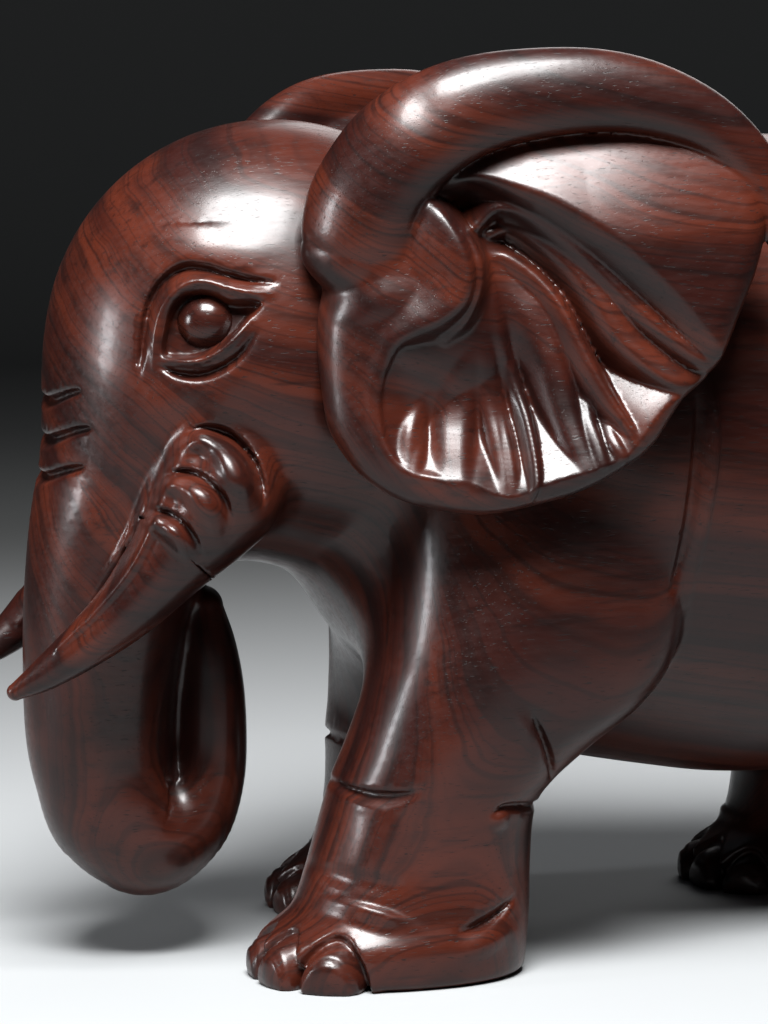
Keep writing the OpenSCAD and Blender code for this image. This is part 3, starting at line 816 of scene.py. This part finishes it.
    # the thin blade and the soft broad folds below the flap
    crest([[-37.2, 121.8, 1, 1.3], [-36.8, 116.4, 2.8, 1.7], [-35.4, 110.8, 3.8, 2],
           [-33.8, 105.6, 3.8, 2.2], [-32.6, 99.8, 3.4, 2.3], [-32.2, 93.8, 2.4, 2.2],
           [-32.4, 88.6, 1.2, 2.1], [-33.2, 84.6, 0.4, 2]], drop=4.6, power=1.4, k=0.5, over=bowl)
    crest([[-39.2, 112.4, 0.5, 1.8], [-38.4, 108.6, 2.4, 2.8], [-37.6, 103, 3, 3.4],
           [-36.8, 96.4, 2.6, 3.4], [-36.6, 91, 1.6, 3.3], [-37, 86.2, 0.3, 3]],
          drop=4.2, k=0.8, over=bowl)
    crest([[-39.6, 110.4, 0.4, 2.6], [-41.8, 105.4, 2.2, 4], [-43.6, 99.6, 2.6, 4.8],
           [-44.8, 94.2, 1.8, 4.8], [-45.8, 88.2, 0.3, 4.4]], drop=4.2, power=2.3, over=bowl)
    crest([[-48, 101.6, 0.3, 2.6], [-50.6, 96.6, 1.6, 3.2], [-52, 92.2, 1, 3.2],
           [-52.8, 89.4, 0.2, 2.8]], power=2.2, over=bowl)


carve_ear(EAR)
EAR_EDGE.height[:] = EAR_EDGE.region(EAR_OUTLINE)
EAR_BACK.height[:] = -BACK_HOLLOW * EAR_BOWL * step01(-EAR_EDGE.height / BACK_HOLLOW_SLOPE)


def rim_plane(y, z):
    """X of the ear's rim, which sweeps out from the head and leans out below."""
    return lookup(EAR_SWEEP, y)[0] + EAR_LEAN * (EAR_LEAN_Z - z)


def ear_form(p):
    """The left ear."""
    y, z = p[:, 1], p[:, 2]
    sweep = rim_plane(y, z)
    edge = EAR_EDGE.at(y, z, 20.0)
    front = (p[:, 0] - sweep - EAR.at(y, z)) * FRONT_SHARE
    back = (sweep - EAR_THICK + EAR_BACK.at(y, z) - p[:, 0]) * BACK_SHARE
    d = smax(smax(front, edge, FRONT_ROUND), back, BACK_ROUND)
    d = smax(d, edge, EDGE_ROUND)
    # the roll is worked out with its thickness stretched to its height
    flat = ROLL_FLAT_FRONT + (ROLL_FLAT_TOP - ROLL_FLAT_FRONT) * step01((y + 58) / 26)
    stretched = np.column_stack([(p[:, 0] - sweep) / flat, y, z])
    roll = EAR_ROLL[:, [2, 0, 1, 3]]
    tube = only_near(lambda q: cone_path(q, roll), stretched, (-45, -90, 96), (45, 34, 180))
    dent = (p - KNUCKLE) / KNUCKLE_SIZE
    tube = ROLL_SHARE * tube + KNUCKLE_DEPTH * np.exp(-(dent * dent).sum(1))
    d = smin(d, tube, ROLL_FILLET)
    for centre, radii in EAR_ROOT:
        d = smin(d, ellipsoid(p, centre, radii), ROOT_FILLET)
    return d


# ---- tusks, eyes and tail
def tusk_base(p):
    """The left tusk beyond its joint, run on from its sheath without a step, and its tenon."""
    past = past_seam(p)
    d, cone = with_tusk(bare_torso(p), p)
    d = np.maximum(d, -np.minimum(past, TUSK_SKIN - cone))
    root = p - TUSK_SEAM
    axis = root - np.outer(root @ TUSK_WAY, TUSK_WAY)
    tenon = smax(np.linalg.norm(axis, axis=1) - TENON_RADIUS,
                 np.abs(past - TENON_MIDDLE) - TENON_HALF_LENGTH, 0.4)
    return np.minimum(d, tenon)


def tusk_relief(p, d):
    """The face's carving runs on over the tusk."""
    return d - face_height(p) * relief_fade(d)


def eye_form(p):
    """A domed bead."""
    return np.linalg.norm(p - EYE, axis=1) - EYE_RADIUS


# Y, Z, radius
TAIL = spline([
    [104, 106, 4.8], [109.5, 99, 4.3], [112.4, 88, 3.7], [113.4, 74, 3.2], [112.6, 62, 3.3],
    [111.6, 53, 4.3], [111.2, 45, 4.1], [111, 38, 2.2], [111, 36, 1.2]])


def tail_form(p):
    """A round tail whose tuft is cut with wavy locks."""
    dist, row, _ = nearest_on_path(p[:, 1:], TAIL)
    off_x = p[:, 0]
    d = np.hypot(dist, off_x) - row[:, 2]
    turn = np.arctan2(off_x, p[:, 1] - row[:, 0])
    tuft = step01((60 - p[:, 2]) / 6)
    return d + 0.45 * tuft * np.cos(7 * turn + 0.25 * p[:, 2])


# ---- materials
class Nodes:
    """Short calls that add nodes to a material and join them."""

    def __init__(self, name):
        self.material = bpy.data.materials.new(name)
        self.material.use_nodes = True
        self.tree = self.material.node_tree
        self.shader = self.tree.nodes["Principled BSDF"]

    def add(self, kind, **settings):
        node = self.tree.nodes.new(kind)
        for key, value in settings.items():
            setattr(node, key, value)
        return node

    def put(self, socket, value):
        if isinstance(value, bpy.types.NodeSocket):
            self.tree.links.new(value, socket)
        else:
            socket.default_value = value

    def math(self, operation, *values):
        node = self.add("ShaderNodeMath", operation=operation)
        for socket, value in zip(node.inputs, values):
            self.put(socket, value)
        return node.outputs[0]

    def noise(self, vector, scale, detail, roughness, dimensions="3D"):
        node = self.add("ShaderNodeTexNoise", noise_dimensions=dimensions)
        self.put(node.inputs["W" if dimensions == "1D" else "Vector"], vector)
        node.inputs["Scale"].default_value = scale
        node.inputs["Detail"].default_value = detail
        node.inputs["Roughness"].default_value = roughness
        return node.outputs["Fac"]

    def stretched(self, vector, scale):
        node = self.add("ShaderNodeMapping")
        self.put(node.inputs["Vector"], vector)
        node.inputs["Scale"].default_value = scale
        return node.outputs[0]

    def between(self, value, low, high, to_low=0.0, to_high=1.0):
        node = self.add("ShaderNodeMapRange", interpolation_type="SMOOTHSTEP")
        self.put(node.inputs["Value"], value)
        numbers = {"From Min": low, "From Max": high, "To Min": to_low, "To Max": to_high}
        for name, number in numbers.items():
            node.inputs[name].default_value = number
        return node.outputs[0]

    def blend(self, factor, a, b):
        node = self.add("ShaderNodeMix", data_type="RGBA")
        self.put(node.inputs[0], factor)
        self.put(node.inputs[6], a)
        self.put(node.inputs[7], b)
        return node.outputs[2]

    def bump(self, height, strength, distance):
        node = self.add("ShaderNodeBump")
        self.put(node.inputs["Height"], height)
        node.inputs["Strength"].default_value = strength
        node.inputs["Distance"].default_value = distance
        return node.outputs[0]


# Where the tree's heart runs, along Y, as X and Z in metres: the growth rings are circles round it
HEART_X, HEART_Z = -0.045, 0.035
# How the rings open out along Y, and how far sway and ripple move them
RING_SLANT, RING_SWAY, RING_RIPPLE = 0.10, 0.022, 0.0028
# How fine each pattern is, across the grain and along it
SWAY, RIPPLE, CLOUD, FIGURE = (14, 5), (70, 16), (26, 11), (150, 14)
STREAK, GLOSS, SCRATCH, PORES = (520, 38), (900, 160), (1500, 260), (3400, 420)
POLISH = {"IOR": 1.45, "Specular IOR Level": 0.30, "Coat Weight": 0.12, "Coat Roughness": 0.14}


def wood(name, dark, mid, bright, roughness):
    """Polished rosewood: growth rings, long dark figure and fine open pores, all along Y."""
    n = Nodes(name)
    place = n.add("ShaderNodeTexCoord").outputs["Object"]

    def grain(fineness, detail, rough=0.5):
        across, along = fineness
        return n.noise(n.stretched(place, (across, along, across)), 1.0, detail, rough)

    def weighted(a, share_a, b, share_b):
        return n.math("ADD", n.math("MULTIPLY", a, share_a), n.math("MULTIPLY", b, share_b))

    parts = n.add("ShaderNodeSeparateXYZ")
    n.put(parts.inputs[0], place)
    x = n.math("SUBTRACT", parts.outputs[0], HEART_X)
    z = n.math("SUBTRACT", parts.outputs[2], HEART_Z)
    ring = n.math("SQRT", weighted(x, x, z, z))
    for move, share in ((parts.outputs[1], RING_SLANT), (grain(SWAY, 2.0), RING_SWAY),
                        (grain(RIPPLE, 3.0), RING_RIPPLE)):
        ring = n.math("ADD", ring, n.math("MULTIPLY", move, share))
    ring = n.math("MULTIPLY", ring, 1 / MM)
    broad = n.noise(ring, 0.10, 1.0, 0.5, "1D")
    bands = n.noise(ring, 0.42, 2.0, 0.6, "1D")
    lines = n.noise(ring, 1.9, 1.0, 0.5, "1D")
    warmth = weighted(broad, 0.55, grain(CLOUD, 4.0, 0.6), 0.55)
    colour = n.blend(n.between(warmth, 0.46, 0.66), mid, bright)
    shade = weighted(bands, 0.6, grain(FIGURE, 3.0, 0.55), 0.45)
    for pattern, low, high, depth in ((shade, 0.47, 0.70, 0.62), (lines, 0.5, 0.72, 0.38),
                                      (grain(STREAK, 4.0, 0.65), 0.52, 0.74, 0.6)):
        colour = n.blend(n.between(pattern, low, high, 0.0, depth), colour, dark)
    pores = n.between(grain(PORES, 1.0), 0.66, 0.74)
    pore_colour = (dark[0] * 0.4, dark[1] * 0.4, dark[2] * 0.4, 1)
    colour = n.blend(n.math("MULTIPLY", pores, 0.7), colour, pore_colour)
    n.put(n.shader.inputs["Base Color"], colour)
    gloss = n.between(grain(GLOSS, 3.0, 0.6), 0.3, 0.7, roughness - 0.035, roughness + 0.055)
    gloss = n.math("ADD", gloss, n.math("MULTIPLY", pores, 0.15))
    n.put(n.shader.inputs["Roughness"], gloss)
    height = n.math("SUBTRACT", n.math("MULTIPLY", grain(SCRATCH, 2.0), 0.35), pores)
    n.put(n.shader.inputs["Normal"], n.bump(height, 0.22, 0.00012))
    for name, value in POLISH.items():
        n.shader.inputs[name].default_value = value
    return n.material


carved = wood("carved_wood", (0.0036, 0.0016, 0.0015, 1), (0.0145, 0.0031, 0.0022, 1),
              (0.041, 0.0078, 0.0037, 1), 0.32)
bead = wood("eye_wood", (0.004, 0.0018, 0.0017, 1), (0.014, 0.0035, 0.0027, 1),
            (0.034, 0.0078, 0.0045, 1), 0.22)
peg = wood("dowel_wood", (0.030, 0.013, 0.008, 1), (0.14, 0.055, 0.028, 1), (0.26, 0.11, 0.05, 1), 0.5)
for name in ("ear_dowels_left", "ear_dowels_right"):
    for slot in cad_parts[name].material_slots:
        slot.material = peg

# ---- pieces
# The box that holds a shape, voxel, base form, relief, material, slot, and the pieces made of it
# with the CAD nodes that they replace. A second piece is the mirror image.
SHAPES = (
    ((-62, -122, -3), (62, 118, 156), BODY_VOXEL, body_base, body_relief, carved, "carved_wood",
     [("body_carving", "body_block")]),
    ((20, -80, 74), (72, 22, 170), EAR_VOXEL, ear_form, None, carved, "carved_wood",
     [("ear_left_carving", "ear_left"), ("ear_right_carving", "ear_right")]),
    ((12, -120, 44), (36, -78, 90), SMALL_VOXEL, tusk_base, tusk_relief, carved, "carved_wood",
     [("tusk_left_carving", "tusk_left"), ("tusk_right_carving", "tusk_right")]),
    (EYE - 7, EYE + 7, SMALL_VOXEL, eye_form, None, bead, "eye_wood",
     [("eye_left_bead", "eye_left"), ("eye_right_bead", "eye_right")]),
    ((-8, 98, 32), (8, 120, 114), SMALL_VOXEL, tail_form, None, carved, "carved_wood",
     [("tail_carving", "tail")]))
for *form, material, slot, pieces in SHAPES:
    verts, faces = sculpt(*form)
    for mirror, (name, node) in enumerate(pieces):
        obj = mesh_object(name, verts, faces, mirror)
        thin_out(obj)
        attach(obj, "root")
        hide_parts(node)
        obj.data.materials.append(material)

# ---- camera
AZIMUTH, PITCH = math.radians(72.0), math.radians(5.0)
DISTANCE, CAMERA_HEIGHT, AIM_Y = 620.0, 133.0, -42.0
# For Blender's own sensor width
LENS = 119.53125
camera = bpy.data.objects.new("camera", bpy.data.cameras.new("camera"))
bpy.context.scene.collection.objects.link(camera)
camera.location = (DISTANCE * math.sin(AZIMUTH) * MM, (AIM_Y - DISTANCE * math.cos(AZIMUTH)) * MM,
                   CAMERA_HEIGHT * MM)
camera.rotation_euler = (math.pi / 2 - PITCH, 0, AZIMUTH)
camera.data.lens = LENS
camera.data.clip_start = 0.01
bpy.context.scene.camera = camera

# ---- stage
# In metres
FLOOR_RADIUS, CURVE_RADIUS, WALL_HEIGHT = 2.4, 0.6, 2.6
BOWL_SIDES, CURVE_STEPS = 96, 12
# The paper's colour holds painted shade: it is paler near the elephant and darker further off, where
# the studio light falls off
PAPER_NEAR, PAPER_SHADED_FAR, PAPER_SHADE_FADE = (0.24, 0.248, 0.253, 1), (0.05, 0.052, 0.0515, 1), (0.10, 0.85)


def studio_bowl():
    """A round seamless floor that curves up into a wall on all sides."""
    profile = [(0.0, 0.0), (0.2, 0.0), (0.5, 0.0), (FLOOR_RADIUS, 0.0)]
    for i in range(1, CURVE_STEPS + 1):
        a = math.radians(90 * i / CURVE_STEPS)
        profile.append((FLOOR_RADIUS + CURVE_RADIUS * math.sin(a), CURVE_RADIUS * (1 - math.cos(a))))
    profile.append((FLOOR_RADIUS + CURVE_RADIUS, WALL_HEIGHT))
    verts, faces = [], []
    for r, z in profile:
        for i in range(BOWL_SIDES):
            a = 2 * math.pi * i / BOWL_SIDES
            verts.append((r * math.cos(a), r * math.sin(a), z))
    for row in range(0, (len(profile) - 1) * BOWL_SIDES, BOWL_SIDES):
        for i in range(BOWL_SIDES):
            k = (i + 1) % BOWL_SIDES
            faces.append((row + i, row + k, row + BOWL_SIDES + k, row + BOWL_SIDES + i))
    mesh = bpy.data.meshes.new("studio")
    mesh.from_pydata(verts, [], faces)
    mesh.validate()
    mesh.shade_smooth()
    studio = bpy.data.objects.new("studio", mesh)
    bpy.context.scene.collection.objects.link(studio)
    n = Nodes("studio_paper")
    place = n.add("ShaderNodeTexCoord").outputs["Object"]
    length = n.add("ShaderNodeVectorMath", operation="LENGTH")
    n.put(length.inputs[0], place)
    # painted shade: the paper is painted darker the further it lies from the middle of the floor
    painted_shade = n.between(length.outputs["Value"], *PAPER_SHADE_FADE)
    n.put(n.shader.inputs["Base Color"], n.blend(painted_shade, PAPER_NEAR, PAPER_SHADED_FAR))
    n.shader.inputs["Roughness"].default_value = 0.75
    mesh.materials.append(n.material)


studio_bowl()


# ---- lights
# Place, aim and size in metres, watts, colour
LIGHTS = {
    "overhead": ((0.34, -0.18, 0.72), (0, -0.04, 0.09), (0.42, 0.32), 27.0, (1, 1, 1)),
    "front": ((0.02, -0.88, 0.24), (0, -0.05, 0.06), (0.12, 0.22), 3.6, (0.95, 0.97, 1.0)),
    "far_side": ((-0.72, 0.52, 0.66), (0, 0, 0.07), (0.7, 0.5), 2.2, (1, 1, 1))}
WORLD_COLOUR, WORLD_STRENGTH = (0.75, 0.8, 0.9, 1), 0.085
for name, (place, aim, size, power, colour) in LIGHTS.items():
    data = bpy.data.lights.new(name, "AREA")
    data.shape = "RECTANGLE"
    data.size, data.size_y = size
    data.energy = power
    data.color = colour
    light = bpy.data.objects.new(name, data)
    light.location = place
    light.rotation_euler = (Vector(aim) - Vector(place)).to_track_quat("-Z", "Y").to_euler()
    bpy.context.scene.collection.objects.link(light)
world = bpy.data.worlds.new("world")
bpy.context.scene.world = world
world.use_nodes = True
background = world.node_tree.nodes["Background"]
background.inputs["Color"].default_value = WORLD_COLOUR
background.inputs["Strength"].default_value = WORLD_STRENGTH
bpy.context.scene.view_settings.view_transform = "Standard"
